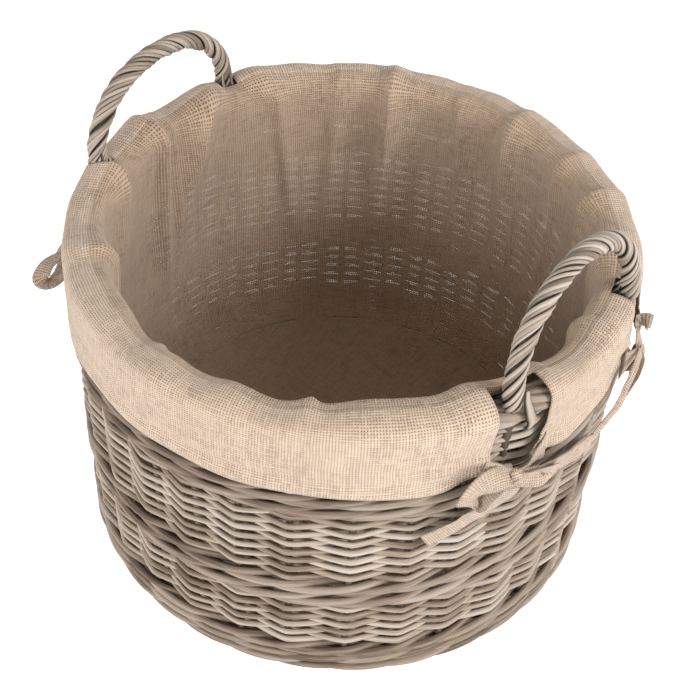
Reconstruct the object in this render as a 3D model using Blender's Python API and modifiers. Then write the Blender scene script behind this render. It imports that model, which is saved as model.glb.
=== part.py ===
"""Round willow log basket with a lift-out hessian liner and two roped handles.

Metres, +Z up. The origin is the centre of the base, on the ground, and X runs through both handles.
"""

from math import atan2, cos, hypot, pi, radians, sin, tau

import bmesh
import bpy
from mathutils import Vector

GAP = 0.0003  # between pieces that touch

# Wall: upright stakes, with bands of weaving stacked up them
STAKE_COUNT = 32
STAKE_RADIUS = 0.003
STAKE_BOTTOM = 0.004
WALL_RADIUS_FOOT = 0.2330  # to the stakes' centres, at the ground
WALL_RADIUS_BORDER = 0.2385  # the same, at the top of the border
BORDER_TOP = 0.3185
RING_SIDES = 48
RANDING_HALF = 0.0083  # half the wall's thickness where single rods weave in and out
WALING_HALF = 0.0095  # the same, where three thicker rods weave together
FOOT_HALF = 0.0100
BORDER_INWARD = 0.0165  # the border's roll lies mostly inside the stakes
BANDS = (  # name, bottom, top, thickness outside the stakes' centres, thickness inside them
    ("foot_wale", 0.0, 0.0380, FOOT_HALF, FOOT_HALF),
    ("lower_weave", 0.0380, 0.0970, RANDING_HALF, RANDING_HALF),
    ("middle_wale", 0.0970, 0.1310, WALING_HALF, WALING_HALF),
    ("upper_weave", 0.1310, 0.2170, RANDING_HALF, RANDING_HALF),
    ("upper_wale", 0.2170, 0.2450, WALING_HALF, WALING_HALF),
    ("top_weave", 0.2450, 0.2945, RANDING_HALF, RANDING_HALF),
    ("rolled_border", 0.2945, BORDER_TOP, RANDING_HALF, BORDER_INWARD),
)

# Base: two crossed layers of sticks, fanned out and woven round
BASE_RADIUS = 0.2222
BASE_BOTTOM = 0.007
BASE_THICKNESS = 0.014
BASE_EYE_RADIUS = 0.022  # the open middle, where the sticks cross
STICK_RADIUS = 0.003
STICK_SPACING = 0.0085
STICK_END_RADIUS = 0.2205
STICK_FAN = radians(30)
STICK_BEND = 0.030  # from the centre to where a stick turns out along its spoke
STICK_LAYERS = (0.0107, 0.0173)

# Handles: a willow bow pushed down into the wall beside two stakes, roped over above the border
# side, its feet's angles round the basket, rise of the arch, lean outward at the top: hand work, so not alike
HANDLES = (
    ("right", radians(-21.2), radians(20.2), 0.080, -0.010),
    ("left", radians(160.5), radians(201.7), 0.070, 0.002),
)
BOW_RADIUS = 0.006
BOW_BOTTOM = 0.135
BOW_UPRIGHT = 0.006  # the straight stretch above the border, at each foot
BOW_POINTS = 16
BOW_SQUARENESS = 0.95  # below 1, the bow's shoulders are fuller than a half ellipse's
ROPING_RADIUS = 0.0105
BOWED_BANDS = ("upper_weave", "upper_wale", "top_weave", "rolled_border")

# Liner: a hessian bag that hangs inside and folds down over the border
CLOTH = 0.0020
BAG_PROFILE = ((0.2130, 0.3000), (0.2185, 0.2300), (0.2190, 0.1200), (0.2125, 0.0500), (0.1960, 0.0225))
FLOOR_RADIUS = 0.1938
FLOOR_BOTTOM = 0.0222
RIM_TOP = 0.3240
CUFF_RADIUS = 0.2500
CUFF_HEM = 0.2475
RIM_CORNER = 0.0065
CORNER_STEPS = 2
FLAP_EDGE = radians(6.2)  # from a foot to the edge of the flap under its handle
CUFF_EDGE = radians(5.4)  # from a foot to the edge of the long cuff on its other side
CUFF_STEPS = 16
FLAP_STEPS = 4

# Ties: a cloth bow that closes each slot beside a handle's foot
TIE_START = radians(10.5)  # from the X axis
TIE_BEYOND = radians(7.5)  # past the handle's foot
TIE_INNER_RADIUS = 0.2504
TIE_THICKNESS = 0.0080
TIE_BOTTOM = 0.2380
TIE_TOP = 0.2600
TIE_STEPS = 6

WILLOW = (0.42, 0.33, 0.25, 1.0)
WILLOW_DARK = (0.30, 0.23, 0.17, 1.0)
HESSIAN = (0.53, 0.42, 0.31, 1.0)

basket = bpy.data.collections.new("wicker_log_basket")
cutters = bpy.data.collections.new("cutters")


def clear_scene():
    for old in list(bpy.data.objects):
        bpy.data.objects.remove(old, do_unlink=True)
    for collection in (basket, cutters):
        bpy.context.scene.collection.children.link(collection)


def make_material(name, colour, roughness):
    material = bpy.data.materials.new(name)
    material.use_nodes = True
    shader = material.node_tree.nodes["Principled BSDF"]
    shader.inputs["Base Color"].default_value = colour
    shader.inputs["Roughness"].default_value = roughness
    shader.inputs["Metallic"].default_value = 0.0
    return material


def wall_radius(z):
    """Radius to the stakes' centres at a height: the wall opens slightly towards the top."""
    return WALL_RADIUS_FOOT + (WALL_RADIUS_BORDER - WALL_RADIUS_FOOT) * z / BORDER_TOP


def around(radius, angle, z):
    return Vector((radius * cos(angle), radius * sin(angle), z))


def stake_angles():
    """No stake stands at a handle's middle, so the pattern is half a step off the X axis."""
    return [tau * (k + 0.5) / STAKE_COUNT for k in range(STAKE_COUNT)]


def foot_angles():
    return [angle for handle in HANDLES for angle in handle[1:3]]


def add_object(name, data, material, collection=basket):
    obj = bpy.data.objects.new(name, data)
    collection.objects.link(obj)
    if material:
        data.materials.append(material)
    return obj


def add_tube(name, points, radius, material, bevel_resolution=2, collection=basket):
    """A rod of round section along the points."""
    curve = bpy.data.curves.new(name, "CURVE")
    curve.dimensions = "3D"
    curve.bevel_depth = radius
    curve.bevel_resolution = bevel_resolution
    curve.use_fill_caps = True
    spline = curve.splines.new("POLY")
    spline.points.add(len(points) - 1)
    for target, point in zip(spline.points, points):
        target.co = (*point, 1.0)
    return add_object(name, curve, material, collection)


def as_mesh(obj, collection=basket):
    """The same object with its curve made a closed mesh, so that it can be cut or can cut."""
    bpy.context.view_layer.update()
    graph = bpy.context.evaluated_depsgraph_get()
    mesh = bpy.data.meshes.new_from_object(obj.evaluated_get(graph))
    work = bmesh.new()
    work.from_mesh(mesh)
    bmesh.ops.remove_doubles(work, verts=work.verts, dist=0.00001)
    bmesh.ops.recalc_face_normals(work, faces=work.faces)
    work.to_mesh(mesh)
    work.free()
    name, matrix = obj.name, obj.matrix_world.copy()
    bpy.data.objects.remove(obj, do_unlink=True)
    made = bpy.data.objects.new(name, mesh)
    made.matrix_world = matrix
    collection.objects.link(made)
    return made


def cut(obj, cutter):
    cutter.hide_render = True
    cutter.display_type = "WIRE"
    modifier = obj.modifiers.new("cut_" + cutter.name, "BOOLEAN")
    modifier.operation = "DIFFERENCE"
    modifier.solver = "EXACT"
    modifier.object = cutter


def round_off(obj, angle=radians(35)):
    obj.data.shade_smooth()
    obj.data.set_sharp_from_angle(angle=angle)


def add_outline_circle(curve, radius, angle, circle_radius, sides):
    """A closed polygon centred at a radius and angle, with a corner pointing along the wall."""
    spline = curve.splines.new("POLY")
    spline.points.add(sides - 1)
    for k, target in enumerate(spline.points):
        corner = around(circle_radius, angle + pi / 2 + tau * k / sides, 0.0)
        target.co = (*(around(radius, angle, 0.0) + corner), 1.0)
    spline.use_cyclic_u = True


def add_band(name, bottom, top, outward, inward, material):
    """One band of weaving: a ring with a channel for each stake, tapered with the wall."""
    bottom += GAP / 2 if bottom else 0.0
    top -= GAP / 2
    middle = (bottom + top) / 2
    radius = wall_radius(middle)
    outline = bpy.data.curves.new(name, "CURVE")
    outline.dimensions = "2D"
    outline.fill_mode = "BOTH"
    outline.extrude = (top - bottom) / 2
    add_outline_circle(outline, 0.0, 0.0, radius + outward, RING_SIDES)
    add_outline_circle(outline, 0.0, 0.0, radius - inward, RING_SIDES)
    if name != "rolled_border":
        for angle in stake_angles():
            add_outline_circle(outline, radius, angle, STAKE_RADIUS + GAP, 6)
    if name in BOWED_BANDS:
        for angle in foot_angles():
            add_outline_circle(outline, radius, angle, (BOW_RADIUS + GAP) / cos(pi / 8), 8)
    band = as_mesh(add_object(name, outline, material))
    band.data.materials.clear()
    band.data.materials.append(material)
    for vertex in band.data.vertices:
        vertex.co.z += middle
        taper = wall_radius(vertex.co.z) / radius
        vertex.co.x *= taper
        vertex.co.y *= taper
    round_off(band)
    return band


def add_stake(number, angle, material):
    top = BANDS[-1][1] - GAP
    foot = around(wall_radius(STAKE_BOTTOM), angle, STAKE_BOTTOM)
    head = around(wall_radius(top), angle, top)
    mesh = bpy.data.meshes.new(f"stake_{number:02d}")
    work = bmesh.new()
    bmesh.ops.create_cone(
        work,
        cap_ends=True,
        segments=6,
        radius1=STAKE_RADIUS,
        radius2=STAKE_RADIUS,
        depth=(head - foot).length,
    )
    work.to_mesh(mesh)
    work.free()
    stake = add_object(mesh.name, mesh, material)
    lean = atan2(hypot(head.x, head.y) - hypot(foot.x, foot.y), head.z - foot.z)
    stake.location = (foot + head) / 2
    stake.rotation_euler = (0.0, lean, angle)
    round_off(stake)


def stick_path(layer, offset, end_radius):
    """Straight through the cross, then out along its spoke on each side."""
    fan = STICK_FAN * offset
    side = STICK_SPACING * offset
    end = around(end_radius, fan, 0.0)
    bend = Vector((STICK_BEND, side * 1.15, 0.0))
    half = [Vector((STICK_BEND * 0.6, side, 0.0)), bend, bend.lerp(end, 0.12), end]
    path = [Vector((-p.x, p.y, 0.0)) for p in reversed(half)] + half
    turn = pi / 2 * layer
    return [
        Vector((p.x * cos(turn) - p.y * sin(turn), p.x * sin(turn) + p.y * cos(turn), STICK_LAYERS[layer]))
        for p in path
    ]


def add_base(weave_material, stick_material):
    bpy.ops.mesh.primitive_cylinder_add(
        vertices=RING_SIDES,
        radius=BASE_RADIUS,
        depth=BASE_THICKNESS,
        location=(0.0, 0.0, BASE_BOTTOM + BASE_THICKNESS / 2),
    )
    weave = bpy.context.object
    weave.name = weave.data.name = "base_weave"
    bpy.ops.mesh.primitive_cylinder_add(
        vertices=24,
        radius=BASE_EYE_RADIUS,
        depth=BASE_THICKNESS * 2,
        location=weave.location,
    )
    eye = bpy.context.object
    eye.name = "base_eye_cutter"
    for obj, collection in ((weave, basket), (eye, cutters)):
        for old in list(obj.users_collection):
            old.objects.unlink(obj)
        collection.objects.link(obj)
    weave.data.materials.append(weave_material)
    cut(weave, eye)
    number = 0
    for layer in (0, 1):
        for offset in (-1, 0, 1):
            number += 1
            path = stick_path(layer, offset, STICK_END_RADIUS)
            add_tube(f"base_stick_{number}", path, STICK_RADIUS, stick_material, 1)
            channel = add_tube(
                f"stick_channel_{number}",
                stick_path(layer, offset, BASE_RADIUS + STICK_RADIUS),
                STICK_RADIUS + GAP,
                None,
                1,
                cutters,
            )
            cut(weave, as_mesh(channel, cutters))


def bow_path(angles, height, lean):
    """A handle's arch, from one foot on the border over to the other."""
    start, end = (around(wall_radius(BORDER_TOP), angle, BORDER_TOP + GAP) for angle in angles)
    middle, half = (start + end) / 2, (start - end) / 2
    outward = Vector((middle.x, middle.y, 0.0)).normalized()
    path = [start]
    for k in range(BOW_POINTS + 1):
        turn = pi * k / BOW_POINTS
        rise = sin(turn) ** BOW_SQUARENESS if 0 < k < BOW_POINTS else 0.0
        reach = abs(cos(turn)) ** BOW_SQUARENESS * (1 if k * 2 < BOW_POINTS else -1)
        upward = Vector((0.0, 0.0, BOW_UPRIGHT + height * rise))
        path.append(middle + half * reach + outward * lean * rise + upward)
    return [*path, end]


def add_handle(side, first, second, height, lean, bow_material, roping_material):
    """The bow runs on down into the wall at both feet. The roping is a sleeve round its arch."""
    arch = bow_path((first, second), height, lean)
    down = [around(wall_radius(BOW_BOTTOM), angle, BOW_BOTTOM) for angle in (first, second)]
    whole = [down[0], *arch, down[1]]
    add_tube(f"{side}_handle_bow", whole, BOW_RADIUS, bow_material)
    roping = as_mesh(add_tube(f"{side}_handle_roping", arch, ROPING_RADIUS, roping_material, 3))
    roping.data.materials.clear()
    roping.data.materials.append(roping_material)
    channel = as_mesh(add_tube(f"{side}_bow_channel", whole, BOW_RADIUS + GAP, None, 2, cutters), cutters)
    cut(roping, channel)
    round_off(roping)


def add_turned_shell(name, profile, start, sweep, steps, thickness, material):
    """A profile of (radius, height), swept round Z and thickened towards the inside of its bend."""
    mesh = bpy.data.meshes.new(name)
    points = [(radius, 0.0, z) for radius, z in profile]
    mesh.from_pydata(points, [(k, k + 1) for k in range(len(points) - 1)], [])
    shell = add_object(name, mesh, material)
    shell.rotation_euler = (0.0, 0.0, start)
    screw = shell.modifiers.new("turn", "SCREW")
    screw.angle = sweep
    screw.steps = screw.render_steps = steps
    screw.use_merge_vertices = sweep >= tau
    screw.merge_threshold = 0.0001
    solid = shell.modifiers.new("cloth", "SOLIDIFY")
    solid.thickness = thickness
    solid.offset = -1.0
    solid.use_even_offset = True
    return shell


def rim_profile():
    """Over the border: up the outside, round two corners, and down the inside to the bag."""
    inner = BAG_PROFILE[0][0] - 0.0015
    turns = [pi / 2 * k / CORNER_STEPS for k in range(CORNER_STEPS + 1)]
    corner = [(sin(turn), cos(turn)) for turn in turns]
    bend = RIM_TOP - RIM_CORNER
    outside = [(CUFF_RADIUS - RIM_CORNER + RIM_CORNER * c, bend + RIM_CORNER * s) for s, c in corner]
    inside = [(inner + RIM_CORNER - RIM_CORNER * s, bend + RIM_CORNER * c) for s, c in corner]
    return [(CUFF_RADIUS, CUFF_HEM), *outside, *inside, (inner, BAG_PROFILE[0][1] + GAP)]


def add_liner(material, tie_material):
    add_turned_shell("liner_side", BAG_PROFILE, 0.0, tau, RING_SIDES, CLOTH, material)
    work = bmesh.new()
    bmesh.ops.create_cone(
        work,
        cap_ends=True,
        segments=RING_SIDES,
        radius1=FLOOR_RADIUS,
        radius2=FLOOR_RADIUS,
        depth=CLOTH,
    )
    mesh = bpy.data.meshes.new("liner_floor")
    work.to_mesh(mesh)
    work.free()
    add_object("liner_floor", mesh, material).location.z = FLOOR_BOTTOM + CLOTH / 2

    rim = rim_profile()[::-1]
    front_right, rear_right, rear_left, front_left = foot_angles()
    for name, start, end, steps in (
        ("right_flap", front_right + FLAP_EDGE, rear_right - FLAP_EDGE, FLAP_STEPS),
        ("rear_cuff", rear_right + CUFF_EDGE, rear_left - CUFF_EDGE, CUFF_STEPS),
        ("left_flap", rear_left + FLAP_EDGE, front_left - FLAP_EDGE, FLAP_STEPS),
        ("front_cuff", front_left + CUFF_EDGE, front_right + tau - CUFF_EDGE, CUFF_STEPS),
    ):
        add_turned_shell(name, rim, start, end - start, steps, CLOTH, material)

    tie_radius = TIE_INNER_RADIUS + TIE_THICKNESS
    tie = [(tie_radius, TIE_TOP), (tie_radius, TIE_BOTTOM)]
    for name, start, end in (
        ("tie_front_right", front_right - TIE_BEYOND, -TIE_START),
        ("tie_rear_right", TIE_START, rear_right + TIE_BEYOND),
        ("tie_rear_left", rear_left - TIE_BEYOND, pi - TIE_START),
        ("tie_front_left", pi + TIE_START, front_left + TIE_BEYOND),
    ):
        add_turned_shell(name, tie, start, end - start, TIE_STEPS, TIE_THICKNESS, tie_material)


def build():
    clear_scene()
    willow = make_material("willow", WILLOW, 0.65)
    inner_willow = make_material("willow_inner", WILLOW_DARK, 0.75)
    hessian = make_material("hessian", HESSIAN, 0.95)
    ribbon = make_material("hessian_tie", HESSIAN, 0.95)
    for band in BANDS:
        add_band(*band, willow)
    for number, angle in enumerate(stake_angles(), 1):
        add_stake(number, angle, inner_willow)
    add_base(willow, inner_willow)
    for handle in HANDLES:
        add_handle(*handle, inner_willow, willow)
    add_liner(hessian, ribbon)


build()
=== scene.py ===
"""The looks of the wicker log basket: woven willow wall, roped handles, and a hessian liner with tied bows.

Metres, +Z up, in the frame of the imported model. X runs through both handles.
"""

from math import cos, hypot, pi, radians, sin, tau

import bpy
import numpy as np
from mathutils import Matrix, Vector


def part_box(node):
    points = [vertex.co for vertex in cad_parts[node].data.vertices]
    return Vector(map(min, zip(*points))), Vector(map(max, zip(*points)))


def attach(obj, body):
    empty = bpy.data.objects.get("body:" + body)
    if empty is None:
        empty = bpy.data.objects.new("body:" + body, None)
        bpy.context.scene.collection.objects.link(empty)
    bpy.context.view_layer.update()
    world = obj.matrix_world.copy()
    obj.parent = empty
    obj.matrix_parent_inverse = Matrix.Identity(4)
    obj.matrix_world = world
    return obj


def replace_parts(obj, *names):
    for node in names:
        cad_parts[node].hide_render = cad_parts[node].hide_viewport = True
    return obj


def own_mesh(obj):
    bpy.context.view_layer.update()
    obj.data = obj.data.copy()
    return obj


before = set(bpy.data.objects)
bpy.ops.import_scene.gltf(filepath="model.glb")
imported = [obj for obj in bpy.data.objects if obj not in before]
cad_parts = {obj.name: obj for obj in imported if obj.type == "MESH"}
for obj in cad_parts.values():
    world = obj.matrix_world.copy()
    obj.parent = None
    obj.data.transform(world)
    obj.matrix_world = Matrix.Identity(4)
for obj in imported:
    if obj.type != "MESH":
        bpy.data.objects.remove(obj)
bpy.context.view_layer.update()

BODY_BASKET, BODY_LINER = "basket", "liner"
STAKES = 32
# side, its feet's angles round the basket, rise of the arch, lean outward at the top
HANDLES = (
    ("right", radians(-21.2), radians(20.2), 0.080, -0.010),
    ("left", radians(160.5), radians(201.7), 0.070, 0.002),
)
FEET = [angle for handle in HANDLES for angle in handle[1:3]]
BOW_UPRIGHT = 0.006  # how far a handle goes straight up before it arches
BOW_SQUARENESS = 0.95  # 1 is an ellipse, less is squarer
FLAP_EDGE = radians(6.2)  # from a foot to the edge of the flap under its handle
CUFF_EDGE = radians(5.4)  # from a foot to the edge of the long cuff on its other side
STAKE_RADIUS = 0.0030
WEAVER_RADIUS = 0.0026  # the rods of the plain weaving
WALER_RADIUS = 0.0035  # the thicker rods of the wales
ROW_PITCH = 0.0056
WEAVE_DEPTH = 0.0083  # from the stakes' centres to the outside of the weaving
FOOT_DRAW_IN = 0.0017  # how much narrower the wall is at the ground than the lower weave's box says
THREAD_PITCH = 0.0022  # hessian, warp and weft alike


def node_top(node):
    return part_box(node)[1][2]


def node_bottom(node):
    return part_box(node)[0][2]


def node_reach(node):
    """Half the node's width across Y, where no handle or tie widens it."""
    low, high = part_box(node)
    return (high[1] - low[1]) / 2


BORDER_TOP = node_top("rolled_border")
RIM_TOP = node_top("front_cuff")
CUFF_HEM = node_bottom("front_cuff")
CUFF_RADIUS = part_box("rear_cuff")[1][1]
WALL_FOOT = node_reach("lower_weave") - WEAVE_DEPTH - FOOT_DRAW_IN  # to the stakes' centres, at the ground
WALL_TOP = node_reach("rolled_border") - WEAVE_DEPTH  # the same, at the top of the border


def wall_radius(z):
    """From the basket's axis to the stakes' centres at a height."""
    return WALL_FOOT + (WALL_TOP - WALL_FOOT) * z / BORDER_TOP


# ---------------------------------------------------------------- small helpers


def ripple(theta, low, high, seed):
    """A smooth wave round the basket, about 1 high, made of low to high whole turns."""
    draw = np.random.default_rng(seed)
    total = np.zeros_like(theta, dtype=float)
    weight = 0.0
    for turns in range(low, high + 1):
        size = draw.uniform(0.4, 1.0)
        total += size * np.cos(turns * theta + draw.uniform(0, tau))
        weight += size * size / 2
    return total / (2 * np.sqrt(weight))


def smooth_noise(count, step, seed):
    """count values from a smooth random curve, about 1 high, that turns about every step values."""
    draw = np.random.default_rng(seed)
    knots = draw.uniform(-1, 1, int(count / step) + 4)
    x = np.arange(count) / step
    k = x.astype(int)
    f = x - k
    f = f * f * (3 - 2 * f)
    return knots[k] * (1 - f) + knots[k + 1] * f


def step_between(low, high, x):
    """0 at low and before it, 1 at high and beyond, smooth between them. low may be above high."""
    t = np.clip((x - low) / (high - low), 0.0, 1.0)
    return t * t * (3 - 2 * t)


def curve_through(points, spacing):
    """Points every spacing along a smooth curve through the given ones."""
    given = np.asarray(points, float)
    ends = np.vstack([2 * given[0] - given[1], given, 2 * given[-1] - given[-2]])
    fine = []
    for k in range(1, len(ends) - 2):
        a, b, c, d = ends[k - 1 : k + 3]
        t = np.linspace(0, 1, 24, endpoint=False)[:, None]
        fine.append(b + 0.5 * t * (c - a + t * (2 * a - 5 * b + 4 * c - d + t * (3 * (b - c) + d - a))))
    fine = np.vstack([*fine, given[-1:]])
    along = np.concatenate([[0], np.cumsum(np.linalg.norm(np.diff(fine, axis=0), axis=1))])
    count = max(2, int(round(along[-1] / spacing)) + 1)
    wanted = np.linspace(0, along[-1], count)
    return np.stack([np.interp(wanted, along, fine[:, axis]) for axis in range(given.shape[1])], axis=1)


def around(theta, centre):
    """The angle from centre to theta, from half a turn back to half a turn on."""
    return np.mod(theta - centre + pi, tau) - pi


def swelling(theta, centre, width):
    """1 at centre, fading to 0 about two widths away on either side."""
    return np.exp(-((around(theta, centre) / width) ** 2))


def polar(radius, theta, z):
    return np.stack(np.broadcast_arrays(radius * np.cos(theta), radius * np.sin(theta), z), axis=-1)


def unit(v):
    return v / np.maximum(np.linalg.norm(v, axis=-1, keepdims=True), 1e-12)


def frames_along(path, closed, up):
    """Side and top directions along a path: from a given up, or carried along without twist if up is None."""
    if closed:
        tangent = unit(np.roll(path, -1, 0) - np.roll(path, 1, 0))
    else:
        tangent = unit(np.gradient(path, axis=0))
    if up is not None:
        side = unit(np.cross(np.broadcast_to(np.asarray(up, float), path.shape), tangent))
        return side, np.cross(tangent, side)
    start = np.array([1.0, 0, 0]) if abs(tangent[0][0]) < 0.8 else np.array([0, 1.0, 0])
    side = np.empty_like(path)
    side[0] = unit(np.cross(tangent[0], start))
    for k in range(1, len(path)):
        moved = side[k - 1] - tangent[k] * np.dot(side[k - 1], tangent[k])
        side[k] = moved / np.linalg.norm(moved)
    return side, np.cross(tangent, side)


class Rods:
    """Gathers round rods into one mesh. UVs are metres along and around, and tone is each rod's own shade."""

    def __init__(self):
        self.points, self.loops, self.sizes, self.uvs, self.tones, self.creases = [], [], [], [], [], []
        self.count = 0

    def add(self, path, radius, tone, sides=8, closed=False, up=None, start=0.0, flat=1.0, crease=0.0):
        """crease marks painted shade on the underside, away from up, or with a negative one on the two
        flanks, where the rods next to it shade a rod.
        """
        path = np.asarray(path, float)
        n = len(path)
        radius = np.broadcast_to(np.asarray(radius, float), (n,))
        tone = np.broadcast_to(np.asarray(tone, float), (n,))
        side, top = frames_along(path, closed, up)
        angle = tau * np.arange(sides) / sides
        across, above = np.cos(angle)[None, :, None], np.sin(angle)[None, :, None]
        ring = across * side[:, None] + flat * above * top[:, None]
        points = path[:, None] + radius[:, None, None] * ring
        reach = np.linalg.norm(np.diff(np.vstack([path, path[:1]]), axis=0), axis=1)
        along = start + np.concatenate([[0], np.cumsum(reach)])
        spans = n if closed else n - 1
        i = np.repeat(np.arange(spans), sides)
        j = np.tile(np.arange(sides), spans)
        i2, j2 = (i + 1) % n, (j + 1) % sides
        quads = np.stack([i * sides + j, i * sides + j2, i2 * sides + j2, i2 * sides + j], axis=1)
        quads = quads + self.count
        girth = tau * float(radius.mean()) / sides
        u0, u1, v0, v1 = along[i], along[i + 1], j * girth, (j + 1) * girth
        self.points.append(points.reshape(-1, 3))
        self.loops.append(quads.reshape(-1))
        self.sizes.append(np.full(len(quads), 4))
        self.uvs.append(np.stack([u0, v0, u0, v1, u1, v1, u1, v0], axis=1).reshape(-1, 2))
        self.tones.append(np.repeat(tone, sides))
        # where the painted shade lies round each ring: the underside, or with a negative crease the two
        # flanks
        under = -np.sin(angle) if crease > 0 else np.abs(np.cos(angle))
        self.creases.append(np.tile(abs(crease) * np.maximum(under, 0), n))
        if not closed:
            for k, order in ((0, slice(None, None, -1)), (n - 1, slice(None))):
                self.loops.append((k * sides + np.arange(sides))[order] + self.count)
                self.sizes.append(np.array([sides]))
                self.uvs.append(np.stack([np.full(sides, along[k]), np.arange(sides) * girth], axis=1))
        self.count += n * sides

    def make(self, name, material, body):
        mesh = bpy.data.meshes.new(name)
        points = np.vstack(self.points)
        loops = np.concatenate(self.loops).astype(np.int32)
        sizes = np.concatenate(self.sizes)
        fill_mesh(mesh, points, loops, sizes, np.vstack(self.uvs))
        for attribute, values in (("tone", self.tones), ("crease", self.creases)):
            layer = mesh.attributes.new(attribute, "FLOAT", "POINT")
            layer.data.foreach_set("value", np.concatenate(values).astype(np.float32))
        return place(name, mesh, material, body)


def fill_mesh(mesh, points, loops, sizes, uvs):
    mesh.vertices.add(len(points))
    mesh.vertices.foreach_set("co", points.astype(np.float32).reshape(-1))
    mesh.loops.add(len(loops))
    mesh.loops.foreach_set("vertex_index", loops)
    mesh.polygons.add(len(sizes))
    starts = np.concatenate([[0], np.cumsum(sizes)[:-1]]).astype(np.int32)
    mesh.polygons.foreach_set("loop_start", starts)
    mesh.update(calc_edges=True)
    layer = mesh.uv_layers.new(name="metres")
    layer.data.foreach_set("uv", uvs.astype(np.float32).reshape(-1))
    mesh.validate()
    mesh.shade_smooth()


def link(obj):
    bpy.context.scene.collection.objects.link(obj)


def place(name, mesh, material, body):
    obj = bpy.data.objects.new(name, mesh)
    link(obj)
    mesh.materials.append(material)
    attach(obj, body)
    return obj


# ---------------------------------------------------------------- materials


class Nodes:
    """Short names for building a node tree."""

    def __init__(self, tree):
        self.tree = tree

    def put(self, socket, value):
        if isinstance(value, bpy.types.NodeSocket):
            self.tree.links.new(value, socket)
        else:
            socket.default_value = value

    def new(self, kind, inputs=(), **settings):
        node = self.tree.nodes.new(kind)
        for key, value in settings.items():
            setattr(node, key, value)
        for key, value in dict(inputs).items():
            self.put(node.inputs[key], value)
        return node

    def math(self, operation, a, b=0.0):
        return self.new("ShaderNodeMath", {0: a, 1: b}, operation=operation).outputs[0]

    def times(self, a, b):
        return self.math("MULTIPLY", a, b)

    def plus(self, a, b):
        return self.math("ADD", a, b)

    def minus(self, a, b):
        return self.math("SUBTRACT", a, b)

    def noise(self, x, y, z=0.0, detail=2.0, roughness=0.5):
        vector = self.new("ShaderNodeCombineXYZ", {0: x, 1: y, 2: z}).outputs[0]
        inputs = {"Vector": vector, "Scale": 1.0, "Detail": detail, "Roughness": roughness}
        return self.new("ShaderNodeTexNoise", inputs).outputs["Fac"]

    def map_range(self, value, low, high, top):
        """0 where the value is low, top where it is high. low may be above high."""
        inputs = {"Value": value, "From Min": low, "From Max": high, "To Max": top}
        return self.new("ShaderNodeMapRange", inputs).outputs[0]

    def ramp(self, factor, stops):
        node = self.new("ShaderNodeValToRGB", {"Fac": factor})
        ramp = node.color_ramp
        while len(ramp.elements) < len(stops):
            ramp.elements.new(1.0)
        for element, (position, colour) in zip(ramp.elements, stops):
            element.position = position
            element.color = (*colour, 1.0)
        return node.outputs["Color"]

    def tinted(self, factor, first, colour):
        """A colour socket, turned to a plain colour as the factor goes from 0 to 1."""
        node = self.new("ShaderNodeMix", data_type="RGBA")
        self.put(node.inputs["Factor"], factor)
        self.put(node.inputs[6], first)
        self.put(node.inputs[7], (*colour, 1.0))
        return node.outputs[2]


class Material(Nodes):
    """A new material, with its Principled BSDF as shader."""

    def __init__(self, name):
        self.material = bpy.data.materials.new(name)
        self.material.use_nodes = True
        super().__init__(self.material.node_tree)
        self.shader = self.tree.nodes["Principled BSDF"]

    def set(self, name, value):
        self.put(self.shader.inputs[name], value)

    def attribute(self, name):
        return self.new("ShaderNodeAttribute", attribute_name=name).outputs["Fac"]

    def uv(self):
        node = self.new("ShaderNodeUVMap", uv_map="metres")
        split = self.new("ShaderNodeSeparateXYZ", {0: node.outputs[0]})
        return split.outputs[0], split.outputs[1]

    def bump(self, height, strength, distance):
        node = self.new("ShaderNodeBump", {"Height": height, "Strength": strength, "Distance": distance})
        self.set("Normal", node.outputs[0])


def willow_material(name, dark, mid, pale, painted_shade_from=0.35):
    """Washed willow: fine grain along each rod, streaks and patches of pale wash, and each rod's own shade.

    Painted shade darkens a rod where its crease attribute is over the given threshold: its underside, or its
    flanks, where the rods next to it shade it.
    """
    n = Material(name)
    u, v = n.uv()
    streak = n.noise(n.times(u, 22.0), n.times(v, 420.0), detail=3.0, roughness=0.55)
    grain = n.noise(n.times(u, 90.0), n.times(v, 2200.0), 5.0, detail=3.0, roughness=0.6)
    patch = n.noise(n.times(u, 9.0), n.times(v, 60.0), 9.0)
    shade = n.plus(n.times(streak, 0.55), n.times(grain, 0.30))
    shade = n.plus(shade, n.times(n.minus(patch, 0.5), 0.55))
    shade = n.plus(shade, n.times(n.minus(n.attribute("tone"), 0.5), 0.30))
    colour = n.ramp(shade, ((0.26, dark), (0.43, mid), (0.60, pale)))
    warm = (mid[0] * 1.12, mid[1] * 0.98, mid[2] * 0.80)
    colour = n.tinted(n.times(patch, 0.35), colour, warm)
    # painted shade: the rod turns near-black where the crease attribute marks its shaded underside or flanks
    painted_shade = n.map_range(n.attribute("crease"), painted_shade_from, 0.92, 1.0)
    shade_colour = (dark[0] * 0.22, dark[1] * 0.20, dark[2] * 0.18)
    n.set("Base Color", n.tinted(painted_shade, colour, shade_colour))
    n.set("Roughness", n.plus(n.times(grain, 0.25), 0.50))
    n.set("Specular IOR Level", 0.35)
    n.bump(n.plus(n.times(streak, 0.6), n.times(grain, 0.4)), 0.6, 0.0005)
    return n.material


def hessian_thread(n, across, along, seed):
    """How far inside its thread a point is, 1 in the middle and 0 at the edge, and the thread's own noise."""
    index = n.math("FLOOR", across)
    slub = n.noise(n.times(index, 7.31), n.times(along, 0.16), seed)
    half_width = n.plus(n.times(slub, 0.30), 0.23)
    off = n.math("ABSOLUTE", n.minus(n.math("FRACT", across), 0.5))
    inside = n.minus(1.0, n.math("POWER", n.math("DIVIDE", off, half_width), 2.0))
    return inside, slub


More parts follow.
